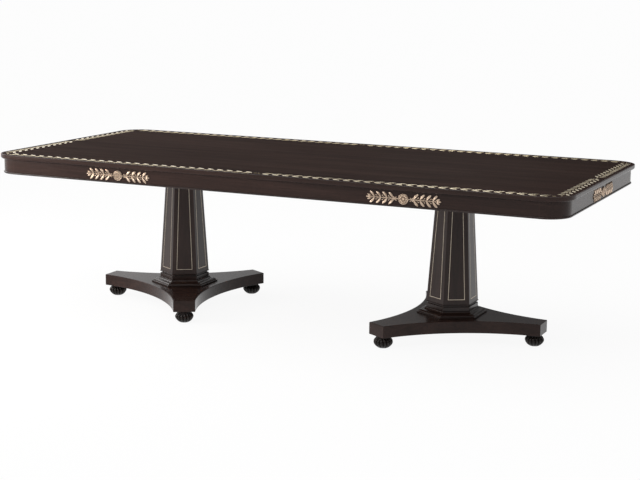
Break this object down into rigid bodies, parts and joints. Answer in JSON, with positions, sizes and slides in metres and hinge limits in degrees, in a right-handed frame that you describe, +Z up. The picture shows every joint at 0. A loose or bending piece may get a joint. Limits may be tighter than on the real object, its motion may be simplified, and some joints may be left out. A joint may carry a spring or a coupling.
{
  "type": "double pedestal dining table",
  "caption": "Long dining table on tapered faceted pedestals with hollow-sided bases and carved bun feet; its halves pull apart on geared slides to take a leaf.",
  "frame": {"origin": "on the floor under the middle of the table, on the seam between the two halves", "axes": "+X along the table towards the half that slides, +Y across it to the back, +Z up"},
  "size_m": [2.743, 1.219, 0.762],
  "materials": {
    "mahogany": "very dark brown mahogany, lacquered to a satin gloss",
    "top_veneer": "dark mahogany face veneer, lacquered to a satin gloss",
    "foot_wood": "carved and nearly black, polished",
    "frame_wood": "plain planed hardwood",
    "inlay_brass": "pale brass, flush and polished with the top",
    "line_brass": "thin brass line, dull",
    "mount_gilt": "cast and gilt, soft sheen",
    "fitting_brass": "plain turned and pressed brass",
    "steel": "plain steel"
  },
  "bodies": {
    "left_half": {"left_apron_bead": "mahogany", "left_back_apron": "mahogany", "left_back_mount": "mount_gilt", "left_base_plate": "mahogany", "left_bearers": "frame_wood", "left_border_leaves": "inlay_brass", "left_corner_aprons": "mahogany", "left_end_apron": "mahogany", "left_end_mount": "mount_gilt", "left_foot_back": "foot_wood", "left_foot_front": "foot_wood", "left_foot_outer": "foot_wood", "left_frame_screws": "steel", "left_front_apron": "mahogany", "left_front_mount": "mount_gilt", "left_ogee_moulding": "mahogany", "left_pedestal_plate": "frame_wood", "left_racks": "steel", "left_runners": "frame_wood", "left_shaft_block": "mahogany", "left_shaft_lines": "line_brass", "left_shaft_staves": "mahogany", "left_tie_rod_set": "steel", "left_top_panel": "mahogany", "left_top_veneer": "top_veneer", "seam_pins": "fitting_brass", "hook_pivots": "fitting_brass"},
    "right_half": {"right_apron_bead": "mahogany", "right_back_apron": "mahogany", "right_back_mount": "mount_gilt", "right_base_plate": "mahogany", "right_bearers": "frame_wood", "right_border_leaves": "inlay_brass", "right_corner_aprons": "mahogany", "right_end_apron": "mahogany", "right_end_mount": "mount_gilt", "right_foot_back": "foot_wood", "right_foot_front": "foot_wood", "right_foot_outer": "foot_wood", "right_frame_screws": "steel", "right_front_apron": "mahogany", "right_front_mount": "mount_gilt", "right_ogee_moulding": "mahogany", "right_pedestal_plate": "frame_wood", "right_racks": "steel", "right_runners": "frame_wood", "right_shaft_block": "mahogany", "right_shaft_lines": "line_brass", "right_shaft_staves": "mahogany", "right_tie_rod_set": "steel", "right_top_panel": "mahogany", "right_top_veneer": "top_veneer", "hook_studs": "fitting_brass"},
    "middle_frame": {"middle_runners": "frame_wood", "cross_ties": "frame_wood", "pinion_pins": "steel"},
    "front_pinion": {"front_pinion": "steel"},
    "back_pinion": {"back_pinion": "steel"},
    "front_hook": {"front_hook": "fitting_brass"},
    "back_hook": {"back_hook": "fitting_brass"}
  },
  "joints": [
    {"name": "half_slide", "type": "slide", "parent": "left_half", "child": "right_half", "axis": [1, 0, 0], "range_m": [0, 0.508]},
    {"name": "middle_slide", "type": "slide", "parent": "left_half", "child": "middle_frame", "axis": [1, 0, 0], "range_m": [0, 0.254]},
    {"name": "front_pinion_turn", "type": "hinge", "parent": "middle_frame", "child": "front_pinion", "pos_m": [0, -0.25, 0.703], "axis": [0, 0, -1], "range_deg": [0, 583.1]},
    {"name": "back_pinion_turn", "type": "hinge", "parent": "middle_frame", "child": "back_pinion", "pos_m": [0, 0.25, 0.703], "axis": [0, 0, 1], "range_deg": [0, 583.1]},
    {"name": "front_hook_swing", "type": "hinge", "parent": "left_half", "child": "front_hook", "pos_m": [-0.042, -0.43, 0.7375], "axis": [0, 0, 1], "range_deg": [0, 90]},
    {"name": "back_hook_swing", "type": "hinge", "parent": "left_half", "child": "back_hook", "pos_m": [-0.042, 0.43, 0.7375], "axis": [0, 0, 1], "range_deg": [0, 90]}
  ],
  "couplings": [
    {"joint": "middle_slide", "follows": "half_slide", "ratio": 0.5},
    {"joint": "front_pinion_turn", "follows": "half_slide", "rad_per_m": 20},
    {"joint": "back_pinion_turn", "follows": "half_slide", "rad_per_m": 20}
  ]
}
